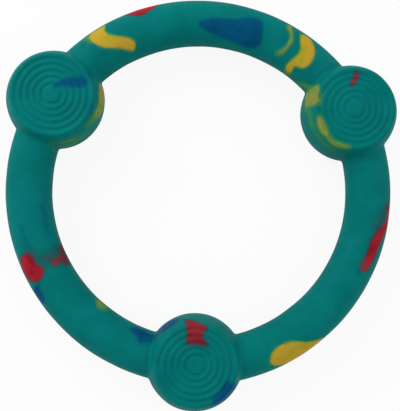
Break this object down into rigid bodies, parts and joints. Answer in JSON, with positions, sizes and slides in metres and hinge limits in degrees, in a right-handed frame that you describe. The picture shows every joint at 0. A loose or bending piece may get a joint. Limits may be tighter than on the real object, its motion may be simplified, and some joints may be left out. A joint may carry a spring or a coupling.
{
  "type": "rubber chew ring",
  "caption": "Solid rubber dog chew ring: a round hoop with grooved barrel pads moulded around it and flush chips of coloured rubber in its surface.",
  "frame": {"origin": "centre of the hoop, on its mid plane", "axes": "+Z out of the front faces of the pads, +Y from the lower pad through the hoop's centre, +X towards the right pad's side"},
  "size_m": [0.152, 0.1599, 0.026],
  "materials": {
    "teal_rubber": "matte",
    "red_rubber": "matte",
    "blue_rubber": "matte",
    "yellow_rubber": "matte"
  },
  "bodies": {
    "root": {"blue_chip_back_left": "blue_rubber", "blue_chip_back_right": "blue_rubber", "blue_chip_back_right_pad": "blue_rubber", "blue_chip_back_top_left": "blue_rubber", "blue_chip_left_edge": "blue_rubber", "blue_chip_left_pad_face": "blue_rubber", "blue_chip_lower_left": "blue_rubber", "blue_chip_lower_pad_rim": "blue_rubber", "blue_chip_lower_pad_wall": "blue_rubber", "blue_chip_top": "blue_rubber", "left_arc": "teal_rubber", "left_pad": "teal_rubber", "lower_pad": "teal_rubber", "red_chip_back_left_pad": "red_rubber", "red_chip_back_lower_left": "red_rubber", "red_chip_back_lower_right": "red_rubber", "red_chip_back_top": "red_rubber", "red_chip_left": "red_rubber", "red_chip_left_inner": "red_rubber", "red_chip_lower_pad_face": "red_rubber", "red_chip_right_edge": "red_rubber", "red_chip_top_left_edge": "red_rubber", "red_sliver_right_pad_face": "red_rubber", "right_arc": "teal_rubber", "right_pad": "teal_rubber", "top_arc": "teal_rubber", "yellow_chip_back_left": "yellow_rubber", "yellow_chip_back_lower_pad": "yellow_rubber", "yellow_chip_back_lower_right": "yellow_rubber", "yellow_chip_back_top_right": "yellow_rubber", "yellow_chip_left_pad_wall": "yellow_rubber", "yellow_chip_lower_right": "yellow_rubber", "yellow_chip_right_pad_wall": "yellow_rubber", "yellow_chip_top_left": "yellow_rubber", "yellow_chip_top_right": "yellow_rubber", "yellow_sliver_left_inner": "yellow_rubber", "yellow_sliver_right_pad_rim": "yellow_rubber", "yellow_sliver_top_right": "yellow_rubber"}
  },
  "joints": []
}
